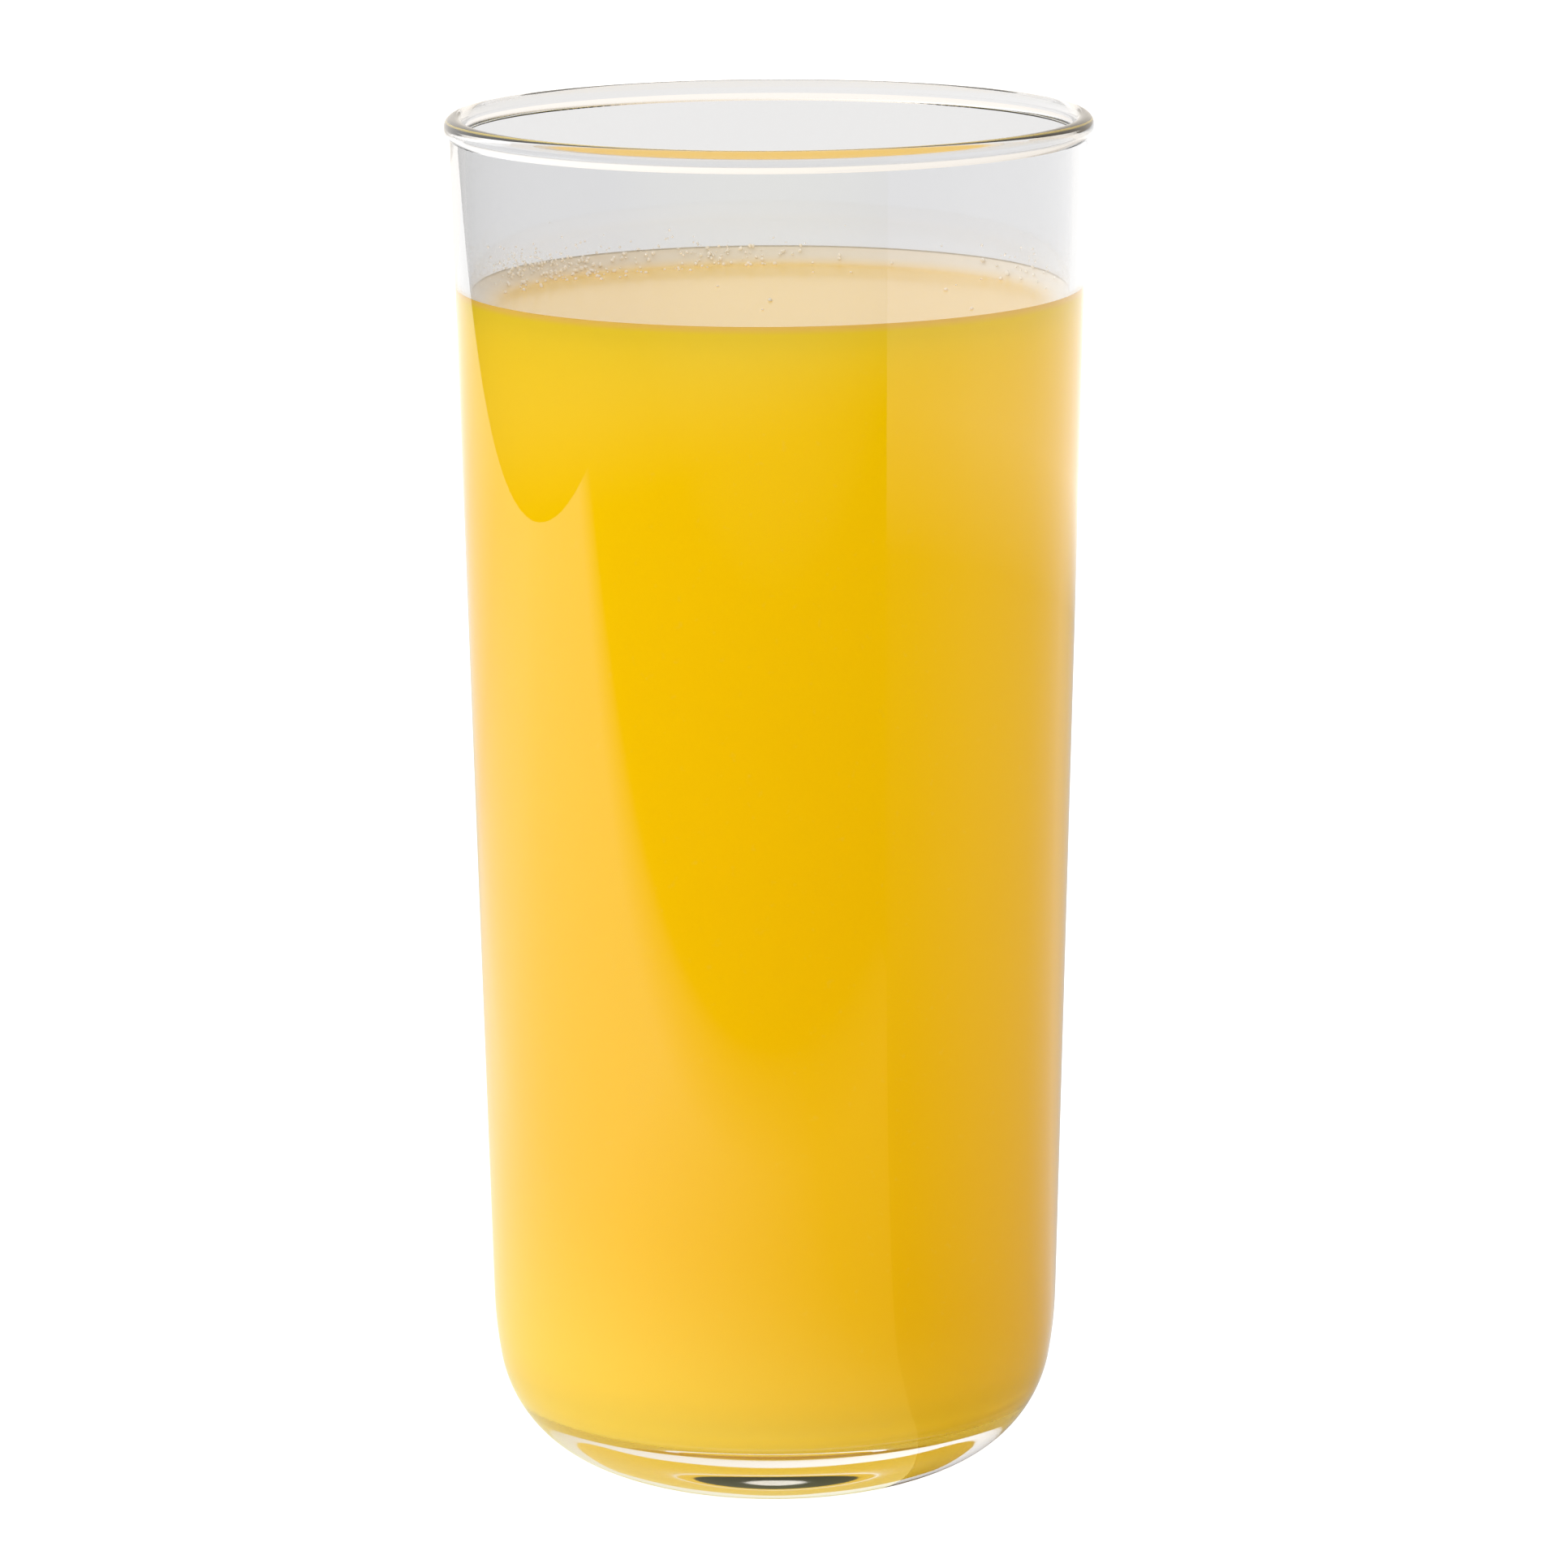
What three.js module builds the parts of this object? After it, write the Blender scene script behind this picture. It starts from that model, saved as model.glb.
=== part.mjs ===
// A tumbler of pineapple juice: a clear pressed glass with a beaded rim and a heavy rounded base, and the juice
// that fills it to a finger below the rim. Millimetres, +Z up, the origin in the middle of the foot.

import * as THREE from 'three';

const radians = THREE.MathUtils.degToRad;

// Outside of the glass: a flat foot, then three arcs that turn the profile up into the leaning wall.
// An arc ends where the profile's slope reaches the angle in "until".
const HEIGHT = 150;
const FOOT_RADIUS = 13;
const SOLE = { radius: 21, until: radians(29) };
const HEEL = { radius: 14.4, until: radians(80) };
const SHOULDER = { radius: 47, until: radians(88.54) };

// Inside of the glass: a thick base with a shallow dished floor, and a wall of even thickness
const WALL = 1.55;
const BASE = 7.1;
const FLOOR = { radius: 60, until: radians(12) };
const INNER_HEEL = { radius: 7.3, until: SHOULDER.until };

// Bead round the rim: how far it swells out of the wall, and how far its flank runs down
const BEAD_SWELL = 0.58;
const BEAD_FLANK = 1.3;

// Juice: its level, and the rim of liquid that climbs the wall above that level
const JUICE_LEVEL = 129.8;
const MENISCUS_RISE = 1.8;
const MENISCUS_REACH = 4;
const JUICE_GAP = 0.25;

// Fineness of the facets
const SEGMENTS = 96;
const BODY_TURN = radians(6);
const BEAD_TURN = radians(22.5);
const FLANK_STEPS = 4;
const MENISCUS_STEPS = 6;

// Profile of a bowl from the axis outwards: a flat middle, then arcs that each carry on from the last one.
// An inset moves the whole profile inwards by that much.
function bowl(flatRadius, floor, arcs, inset = 0) {
  const points = [new THREE.Vector2(0, floor + inset), new THREE.Vector2(flatRadius, floor + inset)];
  let slope = 0;
  for (const arc of arcs) {
    const radius = arc.radius - inset;
    const start = points.at(-1);
    const x = start.x - radius * Math.sin(slope);
    const y = start.y + radius * Math.cos(slope);
    const steps = Math.ceil((arc.until - slope) / BODY_TURN);
    const curve = new THREE.EllipseCurve(x, y, radius, radius, slope - Math.PI / 2, arc.until - Math.PI / 2);
    points.push(...curve.getPoints(steps).slice(1));
    slope = arc.until;
  }
  return points;
}

const outside = bowl(FOOT_RADIUS, 0, [SOLE, HEEL, SHOULDER]);

// Radius of the leaning wall's outside at a height
function wallRadius(height) {
  const start = outside.at(-1);
  return start.x + (height - start.y) / Math.tan(SHOULDER.until);
}

// The inside's flat middle is as wide as it takes for the inner heel to run into the wall
const innerArcs = [FLOOR, INNER_HEEL];
const innerReach = bowl(0, BASE, innerArcs).at(-1);
const innerFlatRadius = wallRadius(innerReach.y) - WALL - innerReach.x;

// Bead from the foot of its flank, over the rim's round top, to the inside of the wall.
// The flank leaves the wall steeply and is nearly upright where the bead is widest.
function bead() {
  const round = (WALL + BEAD_SWELL) / 2;
  const widest = HEIGHT - round;
  const points = [];
  for (let step = 0; step < FLANK_STEPS; step += 1) {
    const down = 1 - step / FLANK_STEPS;
    const height = widest - BEAD_FLANK * down;
    points.push(new THREE.Vector2(wallRadius(height) + BEAD_SWELL * (1 - down ** 3), height));
  }
  const middle = wallRadius(widest) + BEAD_SWELL - round;
  const top = new THREE.EllipseCurve(middle, widest, round, round, 0, Math.PI);
  points.push(...top.getPoints(Math.PI / BEAD_TURN));
  return points;
}

// Surface of the juice from the wall to the axis, lifted towards the wall
function juiceSurface() {
  const edge = wallRadius(JUICE_LEVEL + MENISCUS_RISE) - WALL - JUICE_GAP;
  const points = [];
  for (let step = 0; step <= MENISCUS_STEPS; step += 1) {
    const inwards = step / MENISCUS_STEPS;
    const lift = MENISCUS_RISE * (1 - inwards) ** 3;
    points.push(new THREE.Vector2(edge - MENISCUS_REACH * inwards, JUICE_LEVEL + lift));
  }
  points.push(new THREE.Vector2(0, JUICE_LEVEL));
  return points;
}

// Turned body of a profile that starts and ends on the axis, with its axis along +Z
function turned(name, profile, material) {
  const geometry = new THREE.LatheGeometry(profile, SEGMENTS).rotateX(Math.PI / 2);
  const mesh = new THREE.Mesh(geometry, material);
  mesh.name = name;
  return mesh;
}

const clearGlass = new THREE.MeshStandardMaterial({
  color: 0xe6e7e9,
  roughness: 0.03,
  metalness: 0,
  transparent: true,
  opacity: 0.3,
});
const pineappleJuice = new THREE.MeshStandardMaterial({ color: 0xf2be02, roughness: 0.2, metalness: 0 });

const inside = bowl(innerFlatRadius, BASE, innerArcs);
const glass = turned('glass', [...outside, ...bead(), ...inside.reverse()], clearGlass);

const juiceBody = bowl(innerFlatRadius, BASE, innerArcs, JUICE_GAP);
const juice = turned('juice', [...juiceBody, ...juiceSurface()], pineappleJuice);

const drink = new THREE.Group();
drink.add(glass, juice);

export default drink;
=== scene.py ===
"""Looks of a tumbler of pineapple juice, in metres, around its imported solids.

Sizes are in millimetres and angles in degrees; MM turns them into Blender's metres where a mesh is made.
"""

import logging
import math
import random
from dataclasses import dataclass
from enum import Enum
from typing import Any

import bmesh
import bpy
from mathutils import Matrix, Vector


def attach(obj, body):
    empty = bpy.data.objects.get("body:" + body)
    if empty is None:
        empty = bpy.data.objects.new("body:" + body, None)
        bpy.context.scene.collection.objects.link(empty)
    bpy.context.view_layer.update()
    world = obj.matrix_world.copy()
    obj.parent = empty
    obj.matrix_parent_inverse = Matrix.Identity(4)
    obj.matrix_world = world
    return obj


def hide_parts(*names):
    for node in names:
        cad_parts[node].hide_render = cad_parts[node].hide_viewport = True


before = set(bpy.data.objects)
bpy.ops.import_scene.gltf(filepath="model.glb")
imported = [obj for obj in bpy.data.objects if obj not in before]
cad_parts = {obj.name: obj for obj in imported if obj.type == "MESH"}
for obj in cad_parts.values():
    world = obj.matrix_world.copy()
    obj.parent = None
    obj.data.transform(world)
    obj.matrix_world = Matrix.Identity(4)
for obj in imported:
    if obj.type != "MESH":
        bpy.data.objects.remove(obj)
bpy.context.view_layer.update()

log = logging.getLogger("drink")

MM = 0.001
HALF_TURN = 180.0
WHITE = "FFFFFF"
BLACK = "000000"

# Fineness of the meshes. WELD is in metres.
SEGMENTS = 192
FACET_TURN = math.radians(2.5)
WALL_ROW = 5.0
SHARP_ANGLE = math.radians(32)
WELD = 1e-6
SPECK_FINENESS = 2

# A ray that was scattered less often than this hasn't been scattered at all
UNSCATTERED = 0.5

# Sockets of Blender's colour Mix node, which repeat one name for each kind of data
MIX_FACTOR, MIX_A, MIX_B, MIX_RESULT = 0, 6, 7, 2

Point = tuple[float, float]
Level = tuple[float, float]
Colour = tuple[float, float, float, float]


def linear(code: str) -> Colour:
    """Turns an sRGB hex colour into linear light.

    Args:
        code: six hex digits, such as "F2BE02".

    Returns:
        Red, green, blue and an alpha of 1.
    """
    channels = [int(code[i:i + 2], 16) / 255 for i in (0, 2, 4)]
    light = [c / 12.92 if c <= 0.04045 else ((c + 0.055) / 1.055) ** 2.4 for c in channels]
    return (light[0], light[1], light[2], 1.0)


def add_node(
    tree: bpy.types.NodeTree,
    kind: str,
    values: dict[str | int, Any] | None = None,
    links: dict[str | int, bpy.types.NodeSocket] | None = None,
    **settings: Any,
) -> bpy.types.Node:
    """Adds a node to a tree.

    Args:
        tree: the tree that gets the node.
        kind: Blender's name for the kind of node.
        values: socket to its value.
        links: socket to the output that feeds it.
        settings: the node's own settings.

    Returns:
        The new node.
    """
    node = tree.nodes.new(kind)
    for name, value in settings.items():
        setattr(node, name, value)
    for socket, value in (values or {}).items():
        node.inputs[socket].default_value = value
    for socket, source in (links or {}).items():
        tree.links.new(source, node.inputs[socket])
    return node


def add_ramp(
    tree: bpy.types.NodeTree, source: bpy.types.NodeSocket, stops: tuple[tuple[float, Colour], ...]
) -> bpy.types.NodeSocket:
    """Adds a ramp of colours to a tree.

    Args:
        tree: the tree that gets the ramp.
        source: the output that it follows.
        stops: value and colour of each stop, with the values rising from 0 to 1.

    Returns:
        The ramp's colour.
    """
    ramp = add_node(tree, "ShaderNodeValToRGB", links={"Fac": source})
    elements = ramp.color_ramp.elements
    elements.remove(elements[-1])
    for index, (value, colour) in enumerate(stops):
        stop = elements.new(value) if index else elements[0]
        stop.position = value
        stop.color = colour
    return ramp.outputs["Color"]


def grey(level: float) -> Colour:
    """Returns an even grey of that much linear light."""
    return (level, level, level, 1.0)


def new_material(name: str) -> tuple[bpy.types.Material, bpy.types.NodeTree]:
    """Makes a material with an empty node tree.

    Args:
        name: the material's name.

    Returns:
        The material and its tree.
    """
    material = bpy.data.materials.new(name)
    material.use_nodes = True
    material.node_tree.nodes.clear()
    return material, material.node_tree


def turned(name: str, profile: list[Point]) -> bpy.types.Object:
    """Turns a profile round the Z axis into a closed, smooth piece.

    Args:
        name: the piece's name.
        profile: radius and height of each point, from axis to axis.

    Returns:
        The piece, in the scene.
    """
    bm = bmesh.new()
    corners = [bm.verts.new((radius * MM, 0.0, height * MM)) for radius, height in profile]
    edges = [bm.edges.new(pair) for pair in zip(corners, corners[1:])]
    bmesh.ops.spin(
        bm,
        geom=corners + edges,
        cent=(0, 0, 0),
        axis=(0, 0, 1),
        angle=math.tau,
        steps=SEGMENTS,
        use_merge=True,
    )
    bmesh.ops.remove_doubles(bm, verts=bm.verts, dist=WELD)
    bmesh.ops.recalc_face_normals(bm, faces=bm.faces)
    for face in bm.faces:
        face.smooth = True
    for edge in bm.edges:
        edge.smooth = edge.calc_face_angle(0.0) < SHARP_ANGLE
    return placed(name, bm)


def placed(name: str, bm: bmesh.types.BMesh) -> bpy.types.Object:
    """Puts a finished bmesh into the scene.

    Args:
        name: the new object's name.
        bm: the mesh, which is freed.

    Returns:
        The new object.
    """
    mesh = bpy.data.meshes.new(name)
    bm.to_mesh(mesh)
    bm.free()
    piece = bpy.data.objects.new(name, mesh)
    bpy.context.scene.collection.objects.link(piece)
    return piece


@dataclass(frozen=True)
class Arc:
    """A stretch of a profile that bends upwards.

    Attributes:
        radius: radius of the bend.
        until: slope of the profile where the bend ends, in degrees.
    """

    radius: float
    until: float


def bowl(flat_radius: float, floor: float, arcs: tuple[Arc, ...], inset: float = 0.0) -> list[Point]:
    """Profile of a bowl from the axis outwards: a flat middle, then arcs that each carry on from the last.

    Args:
        flat_radius: radius of the flat middle.
        floor: height of the flat middle.
        arcs: the bends, from the middle outwards.
        inset: how far the whole profile moves inwards.

    Returns:
        Radius and height of each point.
    """
    points = [(0.0, floor + inset), (flat_radius, floor + inset)]
    slope = 0.0
    for arc in arcs:
        radius = arc.radius - inset
        centre_x = points[-1][0] - radius * math.sin(slope)
        centre_z = points[-1][1] + radius * math.cos(slope)
        bend = math.radians(arc.until) - slope
        steps = math.ceil(abs(bend) / FACET_TURN)
        for step in range(1, steps + 1):
            turn = slope + bend * step / steps
            points.append((centre_x + radius * math.sin(turn), centre_z - radius * math.cos(turn)))
        slope += bend
    return points


@dataclass(frozen=True)
class PressedGlass:
    """Clear fire-polished soda-lime glass: sharp reflections that waver a little and a faint grey tint.

    Attributes:
        tint: colour of the glass.
        ior: index of refraction.
        streak_width: width of the mould's waves.
        streak_height: their height.
        streak_depth: how deep they are.
    """

    tint: str = "F2F3F5"
    ior: float = 1.51
    streak_width: float = 7.0
    streak_height: float = 45.0
    streak_depth: float = 0.004

    def make(self) -> bpy.types.Material:
        """Returns the glass, with shallow upright waves left by the mould."""
        material, tree = new_material("soda_lime_glass_fire_polished")
        place = add_node(tree, "ShaderNodeTexCoord")
        across, along = 1 / (self.streak_width * MM), 1 / (self.streak_height * MM)
        stretch = add_node(
            tree,
            "ShaderNodeMapping",
            {"Scale": (across, across, along)},
            {"Vector": place.outputs["Object"]},
        )
        waves = add_node(
            tree,
            "ShaderNodeTexNoise",
            {"Scale": 1.0, "Detail": 1.0},
            {"Vector": stretch.outputs["Vector"]},
        )
        bump = add_node(
            tree,
            "ShaderNodeBump",
            {"Strength": 1.0, "Distance": self.streak_depth * MM},
            {"Height": waves.outputs["Fac"]},
        )
        glass = add_node(
            tree,
            "ShaderNodeBsdfPrincipled",
            {
                "Base Color": linear(self.tint),
                "Roughness": 0.0,
                "IOR": self.ior,
                "Transmission Weight": 1.0,
            },
            {"Normal": bump.outputs["Normal"]},
        )
        add_node(tree, "ShaderNodeOutputMaterial", links={"Surface": glass.outputs["BSDF"]})
        return material


@dataclass(frozen=True)
class PaintedLight:
    """A stretch of juice painted paler by light, placed by the distance from the line where the juice ends
    on the glass.

    Attributes:
        colour: its colour.
        full: distance at which it covers the juice.
        none: distance at which it has gone.
        slant: how much that distance grows for each step to the right.
    """

    colour: str
    full: float
    none: float
    slant: float = 0.0


@dataclass(frozen=True)
class CloudyJuice:
    """Pressed pineapple juice: a cloudy, saturated yellow that light sinks into, with fine pulp in it.

    Attributes:
        name: the material's name.
        low: colour at the bottom.
        high: colour at the top.
        pulp: colour of the pulp.
        painted_lights: stretches painted paler by light, the last one uppermost.
        against: index of refraction of what the juice meets.
        ior: the juice's own index of refraction.
        roughness: how blurred its reflections are.
        cloud_size: size of the slow clouds.
        cloud_lift: how far a cloud carries the colours up and down.
        pulp_size: size of the flecks of pulp.
        pulp_onset: values of the noise between which a fleck sets in.
        pulp_share: how much of the pulp's colour a fleck shows.
    """

    name: str
    low: str
    high: str
    pulp: str
    painted_lights: tuple[PaintedLight, ...]
    against: float = 1.0
    ior: float = 1.35
    roughness: float = 0.02
    cloud_size: float = 14.0
    cloud_lift: float = 25.0
    pulp_size: float = 0.9
    pulp_onset: tuple[float, float] = (0.66, 0.8)
    pulp_share: float = 0.3

    def mottle(self, place: bpy.types.NodeSocket, top: float) -> bpy.types.NodeSocket:
        """Clouds and flecks of pulp.

        Args:
            place: the point that is coloured.
            top: height of the line where the juice ends on the glass.

        Returns:
            The colour at the point.
        """
        tree = place.id_data
        split = add_node(tree, "ShaderNodeSeparateXYZ", links={"Vector": place})
        clouds = add_node(
            tree,
            "ShaderNodeTexNoise",
            {"Scale": 1 / (self.cloud_size * MM), "Detail": 3.0},
            {"Vector": place},
        )
        raised = add_node(
            tree,
            "ShaderNodeMath",
            {1: self.cloud_lift * MM},
            {0: clouds.outputs["Fac"], 2: split.outputs["Z"]},
            operation="MULTIPLY_ADD",
        )
        rise = add_node(
            tree, "ShaderNodeMapRange", {"From Max": top * MM}, {"Value": raised.outputs["Value"]}
        )
        cloudy = add_node(
            tree,
            "ShaderNodeMix",
            {MIX_A: linear(self.low), MIX_B: linear(self.high)},
            {MIX_FACTOR: rise.outputs["Result"]},
            data_type="RGBA",
        )
        grains = add_node(
            tree,
            "ShaderNodeTexNoise",
            {"Scale": 1 / (self.pulp_size * MM), "Detail": 2.0},
            {"Vector": place},
        )
        flecks = add_node(
            tree,
            "ShaderNodeMapRange",
            {"From Min": self.pulp_onset[0], "From Max": self.pulp_onset[1], "To Max": self.pulp_share},
            {"Value": grains.outputs["Fac"]},
        )
        pulpy = add_node(
            tree,
            "ShaderNodeMix",
            {MIX_B: linear(self.pulp)},
            {MIX_FACTOR: flecks.outputs["Result"], MIX_A: cloudy.outputs[MIX_RESULT]},
            data_type="RGBA",
        )
        return pulpy.outputs[MIX_RESULT]

    def with_painted_light(
        self, colour: bpy.types.NodeSocket, place: bpy.types.NodeSocket, edge: Point
    ) -> bpy.types.NodeSocket:
        """Paints the stretches of painted light over a colour.

        Args:
            colour: the colour of the juice.
            place: the point that is coloured.
            edge: radius and height of the line where the juice ends on the glass.

        Returns:
            The colour at the point.
        """
        tree = place.id_data
        split = add_node(tree, "ShaderNodeSeparateXYZ", links={"Vector": place})
        level = add_node(
            tree, "ShaderNodeVectorMath", {1: (1.0, 1.0, 0.0)}, {0: place}, operation="MULTIPLY"
        )
        radius = add_node(
            tree, "ShaderNodeVectorMath", links={0: level.outputs["Vector"]}, operation="LENGTH"
        )
        profile = add_node(
            tree, "ShaderNodeCombineXYZ", links={"X": radius.outputs["Value"], "Y": split.outputs["Z"]}
        )
        from_edge = add_node(
            tree,
            "ShaderNodeVectorMath",
            {1: (edge[0] * MM, edge[1] * MM, 0.0)},
            {0: profile.outputs["Vector"]},
            operation="DISTANCE",
        )
        # Painted light: each stretch turns the juice paler where light sinks in or shines through
        for light_band in self.painted_lights:
            slanted = add_node(
                tree,
                "ShaderNodeMath",
                {1: light_band.slant},
                {0: split.outputs["X"], 2: from_edge.outputs["Value"]},
                operation="MULTIPLY_ADD",
            )
            cover = add_node(
                tree,
                "ShaderNodeMapRange",
                {"From Min": light_band.none * MM, "From Max": light_band.full * MM},
                {"Value": slanted.outputs["Value"]},
                interpolation_type="SMOOTHSTEP",
            )
            covered = add_node(
                tree,
                "ShaderNodeMix",
                {MIX_B: linear(light_band.colour)},
                {MIX_FACTOR: cover.outputs["Result"], MIX_A: colour},
                data_type="RGBA",
            )
            colour = covered.outputs[MIX_RESULT]
        return colour

    def make(self, edge: Point) -> bpy.types.Material:
        """Juice that is mottled, is painted paler by light towards the line where it ends on the glass, and
        mirrors at a glance.

        Args:
            edge: radius and height of that line.

        Returns:
            The material.
        """
        material, tree = new_material(self.name)
        place = add_node(tree, "ShaderNodeTexCoord").outputs["Object"]
        colour = self.with_painted_light(self.mottle(place, edge[1]), place, edge)
        juice = add_node(
            tree,
            "ShaderNodeBsdfPrincipled",
            {"Roughness": 1.0, "IOR": self.ior, "Specular IOR Level": 0.0},
            {"Base Color": colour},
        )
        gloss = add_node(
            tree, "ShaderNodeBsdfGlossy", {"Color": linear(WHITE), "Roughness": self.roughness}
        )
        mirrored = add_node(tree, "ShaderNodeFresnel", {"IOR": self.ior / self.against})
        # Light that the juice has scattered already isn't mirrored back into it, or it would lose its glow.
        scatterings = add_node(tree, "ShaderNodeLightPath").outputs["Diffuse Depth"]
        first = add_node(tree, "ShaderNodeMath", {1: UNSCATTERED}, {0: scatterings}, operation="LESS_THAN")
        share = add_node(
            tree,
            "ShaderNodeMath",
            links={0: mirrored.outputs["Fac"], 1: first.outputs["Value"]},
            operation="MULTIPLY",
        )
        wet = add_node(
            tree,
            "ShaderNodeMixShader",
            links={0: share.outputs["Value"], 1: juice.outputs["BSDF"], 2: gloss.outputs["BSDF"]},
        )
        add_node(tree, "ShaderNodeOutputMaterial", links={"Surface": wet.outputs["Shader"]})
        return material


@dataclass
class Tumbler:
    """The glass: a flat foot, a rounded heel, a leaning wall, a bead round the rim and a thick base.

    Attributes:
        height: height of the whole.
        foot_radius: radius of the flat foot.
        outside_arcs: bends of the outside, from the foot up.
        wall: thickness of the wall.
        base: thickness of the base in the middle.
        inside_arcs: bends of the inside, from the floor up.
        bead_swell: how far the bead swells out of the wall.
        bead_flank: how far the bead's flank runs down.
        bead_steps: rows up the flank and over each half of the rim.
        finish: what it is made of.
    """

    height: float = 150.0
    foot_radius: float = 13.0
    outside_arcs: tuple[Arc, ...] = (Arc(21.0, 29.0), Arc(14.4, 80.0), Arc(47.0, 88.54))
    wall: float = 1.55
    base: float = 7.1
    inside_arcs: tuple[Arc, ...] = (Arc(60.0, 12.0), Arc(7.3, 88.54))
    bead_swell: float = 0.58
    bead_flank: float = 1.3
    bead_steps: int = 14
    finish: PressedGlass = PressedGlass()

    def outside(self) -> list[Point]:
        """Returns the outside's profile from the axis to the foot of the wall."""
        return bowl(self.foot_radius, 0.0, self.outside_arcs)

    def wall_radius(self, height: float) -> float:
        """Returns the radius of the wall's outside at a height."""
        radius, start = self.outside()[-1]
        return radius + (height - start) / math.tan(math.radians(self.outside_arcs[-1].until))

    def inside(self, inset: float = 0.0) -> list[Point]:
        """Profile of the inside from the axis to the foot of the wall.

        Args:
            inset: how far the profile moves inwards.

        Returns:
            Radius and height of each point.
        """
        reach, height = bowl(0.0, self.base, self.inside_arcs)[-1]
        flat_radius = self.wall_radius(height) - self.wall - reach
        return bowl(flat_radius, self.base, self.inside_arcs, inset)

    def wall_rows(self, low: float, high: float, depth: float = 0.0) -> list[Point]:
        """Even rows up the wall, without its two ends.

        Args:
            low: height of the lower end.
            high: height of the upper end.
            depth: how far inside the wall's outside the rows lie.

        Returns:
            Radius and height of each row.
        """
        count = math.ceil((high - low) / WALL_ROW)
        heights = [low + (high - low) * row / count for row in range(1, count)]
        return [(self.wall_radius(height) - depth, height) for height in heights]

    def bead(self) -> list[Point]:
        """Returns the bead's profile from the foot of its flank over the rim to the inside of the wall."""
        round_radius = (self.wall + self.bead_swell) / 2
        widest = self.height - round_radius
        points = []
        for step in range(self.bead_steps):
            down = 1 - step / self.bead_steps
            height = widest - self.bead_flank * down
            points.append((self.wall_radius(height) + self.bead_swell * (1 - down ** 3), height))
        centre = self.wall_radius(widest) + self.bead_swell - round_radius
        for step in range(2 * self.bead_steps + 1):
            turn = math.pi * step / (2 * self.bead_steps)
            points.append((centre + round_radius * math.cos(turn), widest + round_radius * math.sin(turn)))
        return points

    def build(self) -> bpy.types.Object:
        """Returns the glass, in place of its solid and dressed."""
        outside, bead, inside = self.outside(), self.bead(), self.inside()
        outer_wall = self.wall_rows(outside[-1][1], bead[0][1])
        inner_wall = self.wall_rows(inside[-1][1], bead[-1][1], self.wall)
        piece = turned("tumbler", [*outside, *outer_wall, *bead, *reversed(inner_wall), *reversed(inside)])
        piece.data.materials.append(self.finish.make())
        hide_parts("glass")
        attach(piece, "root")
        return piece


@dataclass
class Juice:
    """The juice, which reaches just into the glass so that no air shows between them.

    Attributes:
        tumbler: the glass that holds it.
        level: height of its surface.
        meniscus_rise: how far the surface climbs the wall.
        meniscus_reach: how far inwards it is lifted.
        meniscus_steps: rows over the lifted part.
        into_glass: how far it reaches into the wall.
        surface_tilt: least upward part of a face's normal on the free surface.
        surface_depth: how far below the level that surface is looked for.
        body: finish of the juice that is seen through the glass.
        surface: finish of the free surface.
    """

    tumbler: Tumbler
    level: float = 129.8
    meniscus_rise: float = 1.8
    meniscus_reach: float = 4.0
    meniscus_steps: int = 16
    into_glass: float = 0.12
    surface_tilt: float = 0.3
    surface_depth: float = 1.0
    body: CloudyJuice = CloudyJuice(
        "pineapple_juice_behind_glass",
        "FDDB00",
        "FFE500",
        "FFE84A",
        (
            # Painted light: the upper juice paler where light sinks in from the top, more on the lit left
            PaintedLight("FFE842", 0.0, 14.0, 0.35),
            # Painted light: the lowest juice paler where light from the table rises in, more on the left
            PaintedLight("FFE85A", 128.0, 100.0, -0.35),
            # Painted light: the thin rim of juice at the top paler, as light shines through it
            PaintedLight("FFDA78", 0.0, 1.0),
        ),
        PressedGlass.ior,
    )
    surface: CloudyJuice = CloudyJuice(
        "pineapple_juice_free_surface",
        "F3CC60",
        "F1C858",
        "FFE9A0",
        # Painted light: pale grey where the surface climbs the wall and thins, for the light seen through
        # it
        (PaintedLight("E4DDD0", 0.9, 4.4),),
        roughness=0.14,
    )

    def edge(self) -> Point:
        """Returns the radius and height of the line where the surface meets the glass."""
        height = self.level + self.meniscus_rise
        return self.tumbler.wall_radius(height) - self.tumbler.wall + self.into_glass, height

    def surface_radius(self) -> float:
        """Returns the radius of the juice's surface inside the glass."""
        return self.edge()[0] - self.into_glass

    def lift(self, inwards: float) -> float:
        """Returns how far the surface is lifted at a distance inwards from its edge."""
        return self.meniscus_rise * max(0.0, 1 - inwards / self.meniscus_reach) ** 3

    def build(self) -> bpy.types.Object:
        """Returns the juice, in place of its solid and dressed."""
        body = self.tumbler.inside(-self.into_glass)
        edge_radius, edge_height = self.edge()
        wall = self.tumbler.wall_rows(body[-1][1], edge_height, self.tumbler.wall - self.into_glass)
        surface = []
        for step in range(self.meniscus_steps + 1):
            inwards = self.meniscus_reach * step / self.meniscus_steps
            surface.append((edge_radius - inwards, self.level + self.lift(inwards)))
        piece = turned("pineapple_juice", [*body, *wall, *surface, (0.0, self.level)])
        piece.data.materials.append(self.body.make(self.edge()))
        piece.data.materials.append(self.surface.make(self.edge()))
        lowest = (self.level - self.surface_depth) * MM
        for face in piece.data.polygons:
            face.material_index = int(face.normal.z > self.surface_tilt and face.center.z > lowest)
        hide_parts("juice")
        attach(piece, "root")
        return piece


class Speck(Enum):
    """Kinds of small round things on the juice and on the glass above it."""

    FROTH = "froth_bubbles"
    DROP = "juice_drops"


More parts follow.
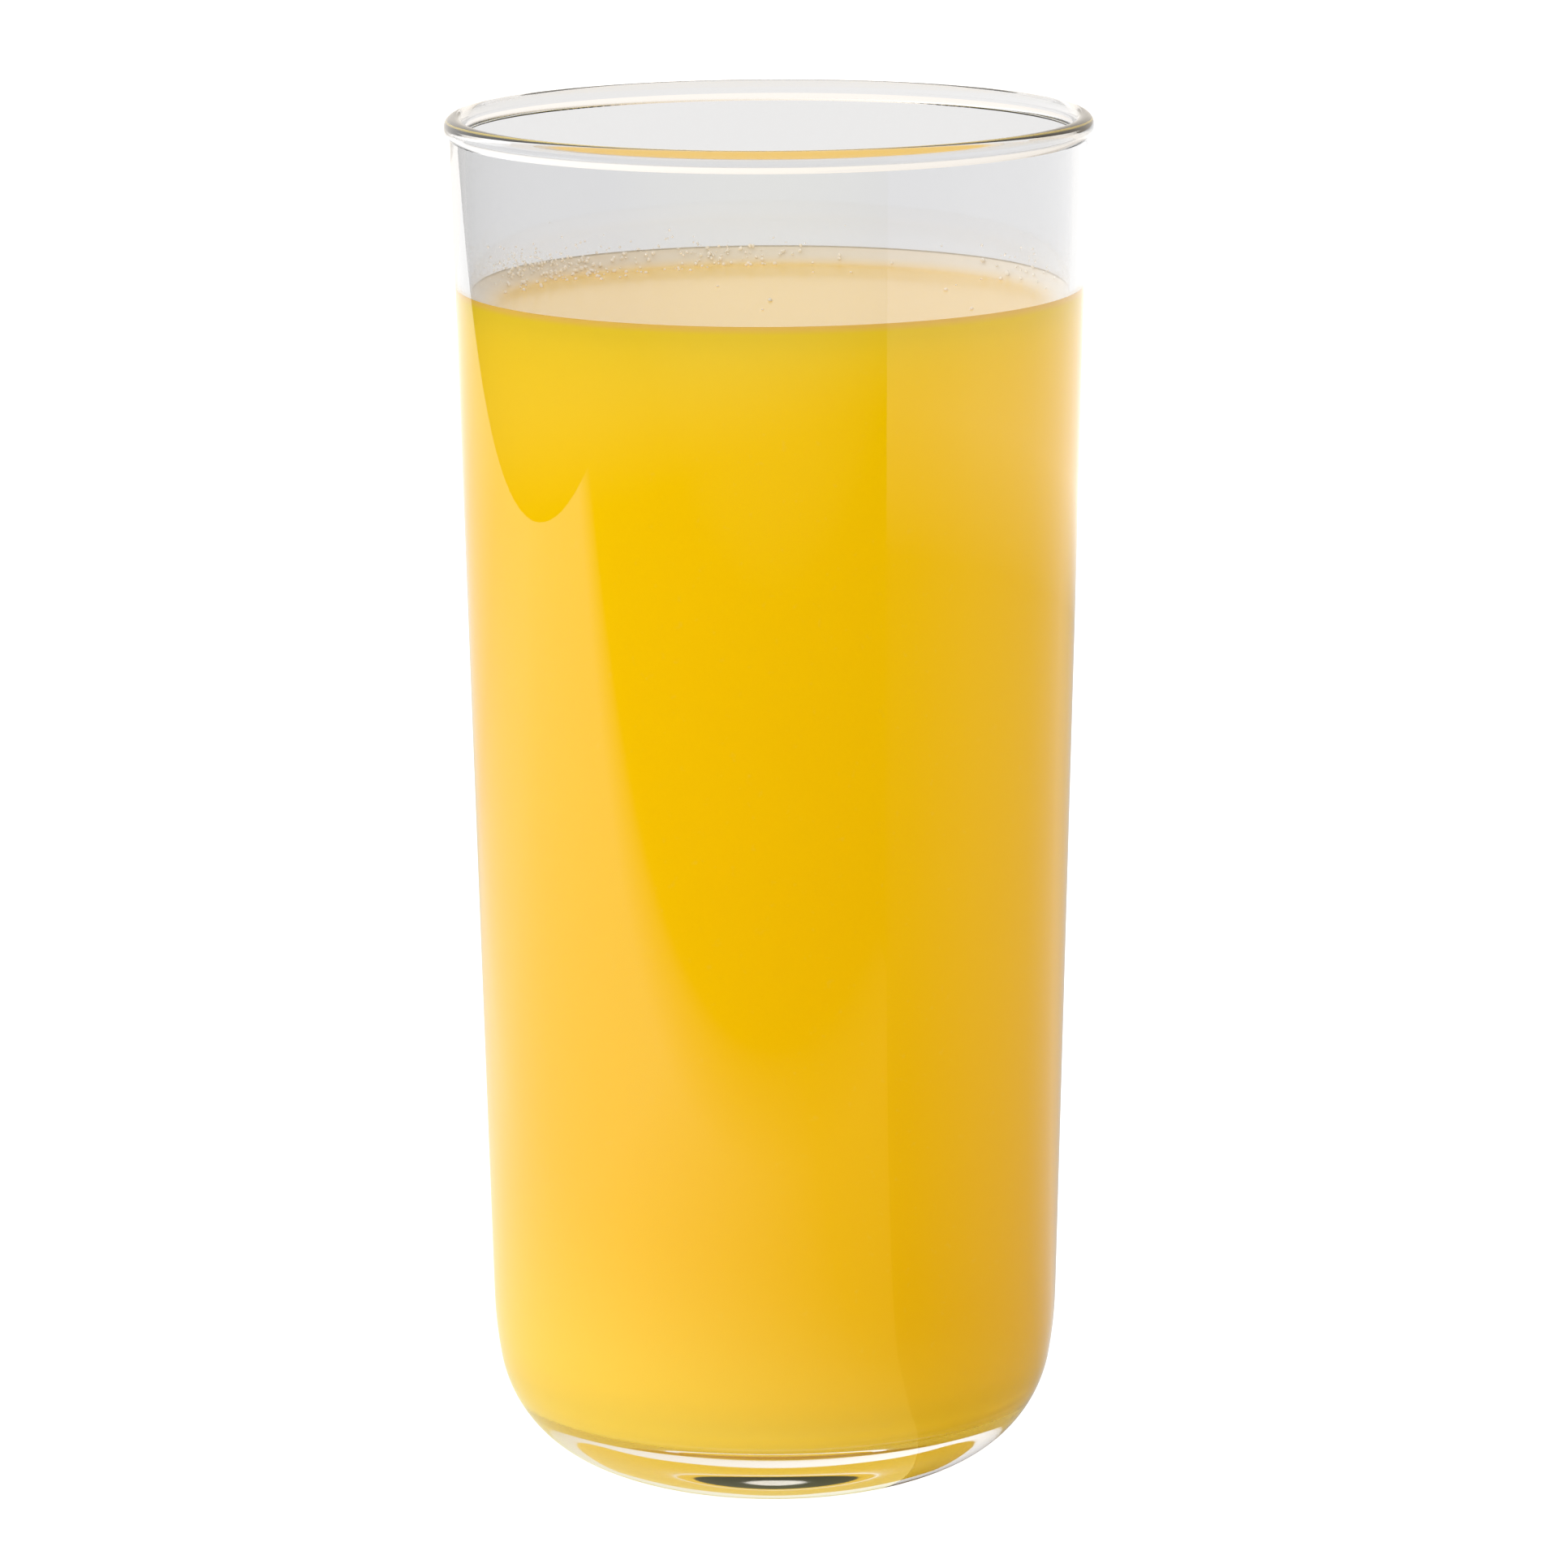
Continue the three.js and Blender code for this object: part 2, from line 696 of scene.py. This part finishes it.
@dataclass(frozen=True)
class WetFilm:
    """Juice as a thin skin or a small drop: pale and glossy, with a painted highlight, white where it faces
    the eye, and its own tint at a darker rim.

    Attributes:
        name: the material's name.
        tint: colour towards the rim.
        clearness: how much light goes through.
        roughness: how blurred its reflections are.
        ior: index of refraction.
        rim: how far the tint reaches in from the rim, as Blender's blend.
    """

    name: str
    tint: str
    clearness: float
    roughness: float = 0.05
    ior: float = 1.34
    rim: float = 0.4

    def make(self) -> bpy.types.Material:
        """Returns the film, painted white at its heart as a highlight and tinted towards its rim."""
        material, tree = new_material(self.name)
        facing = add_node(tree, "ShaderNodeLayerWeight", {"Blend": self.rim}).outputs["Facing"]
        # Painted highlight: white where the film faces the eye, turning to its own tint towards the rim
        painted_highlight = add_node(
            tree,
            "ShaderNodeMix",
            {MIX_A: linear(WHITE), MIX_B: linear(self.tint)},
            {MIX_FACTOR: facing},
            data_type="RGBA",
        )
        film = add_node(
            tree,
            "ShaderNodeBsdfPrincipled",
            {"Roughness": self.roughness, "IOR": self.ior, "Transmission Weight": self.clearness},
            {"Base Color": painted_highlight.outputs[MIX_RESULT]},
        )
        add_node(tree, "ShaderNodeOutputMaterial", links={"Surface": film.outputs["BSDF"]})
        return material


@dataclass(frozen=True)
class Cluster:
    """A stretch of the wall along which specks gather.

    Attributes:
        bearing: its middle, in degrees from the back towards the right.
        spread: standard deviation of the bearing, in degrees.
        reach: mean distance from the juice's edge: inwards for froth and upwards for drops.
        count: number of specks.
    """

    bearing: float
    spread: float
    reach: float
    count: int


@dataclass
class Specks:
    """All specks of one kind, as one piece.

    Attributes:
        kind: their kind.
        juice: the juice that they lie on or above.
        clusters: where they gather.
        smallest: radius of the smallest.
        largest: radius of the largest.
        seed: seed of their places and sizes.
        finish: what they are made of.
        afloat: share of a bubble's radius by which its centre floats above the juice.
    """

    kind: Speck
    juice: Juice
    clusters: tuple[Cluster, ...]
    smallest: float
    largest: float
    seed: int
    finish: WetFilm
    afloat: float = 1 / 3

    def place(self, draw: random.Random, cluster: Cluster, radius: float) -> Vector:
        """Draws the place of one speck.

        Args:
            draw: source of the random numbers.
            cluster: the cluster that it belongs to.
            radius: the speck's own radius.

        Returns:
            Its centre, touching the glass or afloat on the juice.
        """
        bearing = math.radians(draw.gauss(cluster.bearing, cluster.spread))
        away = draw.expovariate(1 / cluster.reach)
        tumbler = self.juice.tumbler
        edge_height = self.juice.edge()[1]
        if self.kind is Speck.DROP:
            height = edge_height + radius + away
            inwards = 0.0
        else:
            inwards = min(away, self.juice.surface_radius())
            height = self.juice.level + self.juice.lift(inwards) + radius * self.afloat
        from_axis = max(0.0, tumbler.wall_radius(height) - tumbler.wall - radius - inwards)
        return Vector((from_axis * math.sin(bearing), from_axis * math.cos(bearing), height))

    def build(self) -> bpy.types.Object:
        """Returns the specks, joined and dressed."""
        draw = random.Random(self.seed)
        bm = bmesh.new()
        for cluster in self.clusters:
            for _ in range(cluster.count):
                radius = draw.uniform(self.smallest, self.largest)
                centre = self.place(draw, cluster, radius)
                bmesh.ops.create_icosphere(
                    bm,
                    subdivisions=SPECK_FINENESS,
                    radius=radius * MM,
                    matrix=Matrix.Translation(centre * MM),
                )
        for face in bm.faces:
            face.smooth = True
        piece = placed(self.kind.value, bm)
        piece.data.materials.append(self.finish.make())
        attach(piece, "root")
        return piece


FROTH_CLUSTERS = (
    Cluster(-51.0, 5.0, 1.3, 52),
    Cluster(-42.0, 3.0, 1.6, 26),
    Cluster(-63.0, 6.0, 1.0, 40),
    Cluster(-12.0, 4.0, 1.2, 26),
    Cluster(-3.0, 1.5, 1.5, 12),
    Cluster(-30.0, 22.0, 1.6, 70),
    Cluster(58.0, 13.0, 1.0, 18),
    Cluster(0.0, 75.0, 20.0, 16),
)
DROP_CLUSTERS = (
    Cluster(-62.0, 10.0, 0.9, 70),
    Cluster(-30.0, 20.0, 0.6, 40),
    Cluster(60.0, 12.0, 0.7, 14),
)


def light_reflections(card: bpy.types.Object, colour: bpy.types.NodeSocket, strength: float) -> None:
    """Makes a card shine in reflections alone.

    Args:
        card: the card, which has no material yet.
        colour: colour of its light, in the tree of the material that it gets.
        strength: how much brighter than that colour it shines.
    """
    tree = colour.id_data
    light = add_node(tree, "ShaderNodeEmission", {"Strength": strength}, {"Color": colour})
    add_node(tree, "ShaderNodeOutputMaterial", links={"Surface": light.outputs["Emission"]})
    card.visible_camera = False
    card.visible_diffuse = False
    card.visible_transmission = False
    card.visible_shadow = False


@dataclass(frozen=True)
class Reflector:
    """A flat light field that shows only as a reflection, as a studio's card does.

    Attributes:
        name: the card's name.
        corner: one corner.
        side: from that corner along one side.
        rise: from that corner along the other side.
        near: colour of its light at the corner.
        far: colour of its light at the end of the side.
        strength: how much brighter than that colour it shines.
        turn: shares of the side between which its colour turns from near to far.
        levels: share of the rise and how bright the card is there.
    """

    name: str
    corner: tuple[float, float, float]
    side: tuple[float, float, float]
    rise: tuple[float, float, float]
    near: str
    far: str
    strength: float
    turn: tuple[float, float] = (0.0, 1.0)
    levels: tuple[Level, ...] = ((0.0, 1.0),)

    def build(self) -> bpy.types.Object:
        """Returns the card, out of sight of all but reflections."""
        corner, side, rise = (Vector(v) * MM for v in (self.corner, self.side, self.rise))
        bm = bmesh.new()
        outline = (corner, corner + side, corner + side + rise, corner + rise)
        bm.faces.new([bm.verts.new(v) for v in outline])
        card = placed(self.name, bm)
        material, tree = new_material(self.name)
        material.cycles.emission_sampling = "NONE"
        card.data.materials.append(material)
        place = add_node(tree, "ShaderNodeTexCoord").outputs["Object"]
        offset = add_node(tree, "ShaderNodeVectorMath", {1: corner}, {0: place}, operation="SUBTRACT")
        # Shares of the side and of the rise, which needn't be square to each other
        skew = side.dot(rise)
        area_squared = side.length_squared * rise.length_squared - skew**2
        along, up = (
            add_node(
                tree,
                "ShaderNodeVectorMath",
                {1: (way * other.length_squared - other * skew) / area_squared},
                {0: offset.outputs["Vector"]},
                operation="DOT_PRODUCT",
            ).outputs["Value"]
            for way, other in ((side, rise), (rise, side))
        )
        sideways = add_ramp(
            tree, along, ((self.turn[0], linear(self.near)), (self.turn[1], linear(self.far)))
        )
        upwards = add_ramp(tree, up, tuple((share, grey(level)) for share, level in self.levels))
        colour = add_node(
            tree,
            "ShaderNodeMix",
            {MIX_FACTOR: 1.0},
            {MIX_A: sideways, MIX_B: upwards},
            data_type="RGBA",
            blend_type="MULTIPLY",
        )
        light_reflections(card, colour.outputs[MIX_RESULT], self.strength)
        return card


@dataclass(frozen=True)
class SweptReflector:
    """A flat sector of light round the glass that shows only as a reflection and changes along its arc.

    Attributes:
        name: the card's name.
        height: height of the sector.
        reach: its radius.
        near: bearing, in degrees from the front towards the right, and brightness close to the glass.
        far: the same, far from it.
        turn: distances between which its light turns from near to far.
        strength: how much brighter than those levels it shines.
    """

    name: str
    height: float
    reach: float
    near: tuple[Level, ...]
    far: tuple[Level, ...]
    turn: tuple[float, float]
    strength: float

    def build(self) -> bpy.types.Object:
        """Returns the sector, out of sight of all but reflections."""
        bearings = [math.radians(bearing) for bearing, _ in self.near]
        rim = [(self.reach * math.sin(turn), -self.reach * math.cos(turn)) for turn in bearings]
        bm = bmesh.new()
        bm.faces.new([bm.verts.new(Vector((*v, self.height)) * MM) for v in ((0.0, 0.0), *rim)])
        card = placed(self.name, bm)
        material, tree = new_material(self.name)
        material.cycles.emission_sampling = "NONE"
        card.data.materials.append(material)
        place = add_node(tree, "ShaderNodeTexCoord").outputs["Object"]
        split = add_node(tree, "ShaderNodeSeparateXYZ", links={"Vector": place})
        forwards = add_node(
            tree, "ShaderNodeMath", {1: -1.0}, {0: split.outputs["Y"]}, operation="MULTIPLY"
        )
        bearing = add_node(
            tree,
            "ShaderNodeMath",
            links={0: split.outputs["X"], 1: forwards.outputs["Value"]},
            operation="ARCTAN2",
        )
        half_turn = add_node(
            tree, "ShaderNodeMapRange", {"From Max": math.pi}, {"Value": bearing.outputs["Value"]}
        )
        near, far = (
            add_ramp(
                tree,
                half_turn.outputs["Result"],
                tuple((turn / HALF_TURN, grey(level)) for turn, level in levels),
            )
            for levels in (self.near, self.far)
        )
        away = add_node(tree, "ShaderNodeVectorMath", links={0: place}, operation="LENGTH")
        distant = add_node(
            tree,
            "ShaderNodeMapRange",
            {"From Min": self.turn[0] * MM, "From Max": self.turn[1] * MM},
            {"Value": away.outputs["Value"]},
        )
        colour = add_node(
            tree,
            "ShaderNodeMix",
            links={MIX_FACTOR: distant.outputs["Result"], MIX_A: near, MIX_B: far},
            data_type="RGBA",
        )
        light_reflections(card, colour.outputs[MIX_RESULT], self.strength)
        return card


@dataclass
class Studio:
    """White table, even light with a brighter left side, reflected cards and the camera.

    Attributes:
        floor_size: length of the table's side.
        floor_drop: how far it lies below the foot.
        floor_colour: its paint.
        floor_roughness: how matt the paint is.
        floor_glow: its own light, straight to the camera.
        floor_glow_through_glass: its own light, seen through the glass.
        floor_glow_left: its own light on the juice from close by on the left.
        floor_glow_right: the same from the right.
        floor_glow_reach: distances between which that difference dies out.
        shade_colour: light of the table under the foot, which the juice colours.
        shade_inner: radius up to which it has that colour.
        shade_outer: radius from which on it is white.
        light_left: light from the left.
        light_right: light from the right.
        light_right_colour: colour of the light from the right.
        camera_place: where the camera stands.
        pitch: how far it looks down.
        yaw: how far it looks to the right.
        roll: how far it leans to the right.
        focal_length: focal length of its lens.
        sensor: width of its sensor.
        bounces: how often light is scattered, or mirrored, on its way.
        all_bounces: how often it meets a surface at all.
        cards: what shows in the reflections.
    """

    floor_size: float = 24000.0
    floor_drop: float = 0.05
    floor_colour: str = "909090"
    floor_roughness: float = 0.9
    floor_glow: float = 1.0
    floor_glow_through_glass: float = 0.63
    floor_glow_left: float = 1.1
    floor_glow_right: float = 0.15
    floor_glow_reach: tuple[float, float] = (30.0, 110.0)
    shade_colour: str = "8A5F18"
    shade_inner: float = 16.0
    shade_outer: float = 30.0
    light_left: float = 1.52
    light_right: float = 0.78
    light_right_colour: str = "FFF1DC"
    camera_place: tuple[float, float, float] = (0.0, -800.0, 240.7)
    pitch: float = 11.6
    yaw: float = 0.09
    roll: float = 0.27
    focal_length: float = 171.4
    sensor: float = 36.0
    bounces: int = 12
    all_bounces: int = 24
    cards: tuple[Reflector | SweptReflector, ...] = (
        Reflector(
            "card_table",
            (-560, -215, -0.1),
            (730, 0, 0),
            (0, 1100, 0),
            WHITE,
            "B4B060",
            1.4,
            (0.57, 0.83),
            ((0.0, 0.0), (0.05, 1.0), (0.3, 1.0), (0.48, 0.66), (0.7, 0.7), (0.9, 0.9)),
        ),
        SweptReflector(
            "card_right",
            -0.05,
            9000.0,
            ((42, 0.02), (52, 0.04), (81, 0.2), (112, 0.29), (138, 0.52), (150, 0.42), (175, 0.4)),
            ((42, 0.5), (52, 0.53), (81, 0.8), (112, 0.81), (138, 0.94), (175, 0.95)),
            (512, 645),
            1.5,
        ),
        Reflector("card_front", (-900, -900, -0.1), (0, 420, 0), (1800, 0, 0), "FFFFB0", BLACK, 1.0),
        Reflector("card_dark_floor", (-6000, -6000, -0.2), (12000, 0, 0), (0, 6200, 0), BLACK, BLACK, 1.0),
        Reflector("card_dark_left", (-6000, 200, -0.2), (5440, 0, 0), (0, 800, 0), BLACK, BLACK, 1.0),
    )

    def light(self) -> None:
        """Lights the room evenly from all round, with more from the left."""
        world = bpy.data.worlds.new("white_room")
        bpy.context.scene.world = world
        world.use_nodes = True
        tree = world.node_tree
        tree.nodes.clear()
        direction = add_node(tree, "ShaderNodeTexCoord").outputs["Generated"]
        across = add_node(tree, "ShaderNodeSeparateXYZ", links={"Vector": direction})
        strength = add_node(
            tree,
            "ShaderNodeMapRange",
            {"From Min": -1.0, "From Max": 1.0, "To Min": self.light_left, "To Max": self.light_right},
            {"Value": across.outputs["X"]},
        )
        share = add_node(tree, "ShaderNodeMapRange", {"From Min": -1.0}, {"Value": across.outputs["X"]})
        warmth = add_ramp(
            tree, share.outputs["Result"], ((0.0, linear(WHITE)), (1.0, linear(self.light_right_colour)))
        )
        sky = add_node(
            tree, "ShaderNodeBackground", links={"Color": warmth, "Strength": strength.outputs["Result"]}
        )
        add_node(tree, "ShaderNodeOutputWorld", links={"Surface": sky.outputs["Background"]})

    def floor(self) -> bpy.types.Object:
        """Returns the white table, which cards stand in for in reflections.

        The camera sees plain white. The juice gets more light from close by on the left, and a warm shade
        lies under the foot.
        """
        bm = bmesh.new()
        bmesh.ops.create_grid(bm, x_segments=1, y_segments=1, size=self.floor_size / 2 * MM)
        floor = placed("floor", bm)
        floor.location.z = -self.floor_drop * MM
        material, tree = new_material("white_table")
        place = add_node(tree, "ShaderNodeTexCoord").outputs["Object"]
        away = add_node(tree, "ShaderNodeVectorMath", links={0: place}, operation="LENGTH")
        clear = add_node(
            tree,
            "ShaderNodeMapRange",
            {"From Min": self.shade_inner * MM, "From Max": self.shade_outer * MM},
            {"Value": away.outputs["Value"]},
            interpolation_type="SMOOTHSTEP",
        )
        path = add_node(tree, "ShaderNodeLightPath")
        whiteness = add_node(
            tree,
            "ShaderNodeMath",
            links={0: clear.outputs["Result"], 1: path.outputs["Is Camera Ray"]},
            operation="MAXIMUM",
        )
        glow = add_node(
            tree,
            "ShaderNodeMix",
            {MIX_A: linear(self.shade_colour), MIX_B: linear(WHITE)},
            {MIX_FACTOR: whiteness.outputs["Value"]},
            data_type="RGBA",
        )
        across = add_node(tree, "ShaderNodeSeparateXYZ", links={"Vector": place})
        close, beyond = (reach * MM for reach in self.floor_glow_reach)
        close_by = add_node(
            tree,
            "ShaderNodeMapRange",
            {
                "From Min": -close,
                "From Max": close,
                "To Min": self.floor_glow_left,
                "To Max": self.floor_glow_right,
            },
            {"Value": across.outputs["X"]},
        )
        onto_juice = add_node(
            tree,
            "ShaderNodeMapRange",
            {"From Min": close, "From Max": beyond, "To Max": self.floor_glow_through_glass},
            {"Value": away.outputs["Value"], "To Min": close_by.outputs["Result"]},
        )
        unseen = add_node(
            tree,
            "ShaderNodeMapRange",
            {"To Min": self.floor_glow_through_glass},
            {"Value": path.outputs["Diffuse Depth"], "To Max": onto_juice.outputs["Result"]},
        )
        strength = add_node(
            tree,
            "ShaderNodeMapRange",
            {"To Max": self.floor_glow},
            {"Value": path.outputs["Is Camera Ray"], "To Min": unseen.outputs["Result"]},
        )
        paint = add_node(
            tree,
            "ShaderNodeBsdfPrincipled",
            {
                "Base Color": linear(self.floor_colour),
                "Roughness": self.floor_roughness,
                "Specular IOR Level": 0.0,
            },
            {"Emission Color": glow.outputs[MIX_RESULT], "Emission Strength": strength.outputs["Result"]},
        )
        add_node(tree, "ShaderNodeOutputMaterial", links={"Surface": paint.outputs["BSDF"]})
        floor.data.materials.append(material)
        floor.visible_glossy = False
        return floor

    def camera(self) -> bpy.types.Object:
        """Returns the camera at the viewing angle of the picture."""
        data = bpy.data.cameras.new("camera")
        data.lens = self.focal_length
        data.sensor_width = self.sensor
        camera = bpy.data.objects.new("camera", data)
        bpy.context.scene.collection.objects.link(camera)
        look = Matrix.Rotation(math.radians(-self.yaw), 4, "Z")
        look @= Matrix.Rotation(math.radians(90 - self.pitch), 4, "X")
        look @= Matrix.Rotation(math.radians(-self.roll), 4, "Z")
        camera.matrix_world = Matrix.Translation(Vector(self.camera_place) * MM) @ look
        bpy.context.scene.camera = camera
        return camera

    def build(self) -> None:
        """Sets up the whole studio."""
        scene = bpy.context.scene
        scene.view_settings.view_transform = "Standard"
        scene.cycles.use_denoising = True
        scene.cycles.diffuse_bounces = self.bounces
        scene.cycles.glossy_bounces = self.bounces
        scene.cycles.max_bounces = self.all_bounces
        scene.cycles.blur_glossy = 0.0
        self.camera()
        self.light()
        self.floor()
        for card in self.cards:
            card.build()


def main() -> None:
    """Builds the drink and the studio, and logs how many faces each piece has."""
    logging.basicConfig(level=logging.INFO, format="%(name)s: %(message)s")
    tumbler = Tumbler()
    juice = Juice(tumbler)
    froth = Specks(
        Speck.FROTH,
        juice,
        FROTH_CLUSTERS,
        smallest=0.09,
        largest=0.25,
        seed=7,
        finish=WetFilm("froth_of_juice_thin_skinned", "FBF1DC", 0.3),
    )
    drops = Specks(
        Speck.DROP,
        juice,
        DROP_CLUSTERS,
        smallest=0.06,
        largest=0.17,
        seed=11,
        finish=WetFilm("drops_of_juice_on_glass", "F6F0E4", 0.6),
    )
    for piece in (tumbler.build(), juice.build(), froth.build(), drops.build()):
        log.info("%s has %d faces", piece.name, len(piece.data.polygons))
    Studio().build()


if __name__ == "__main__":
    main()
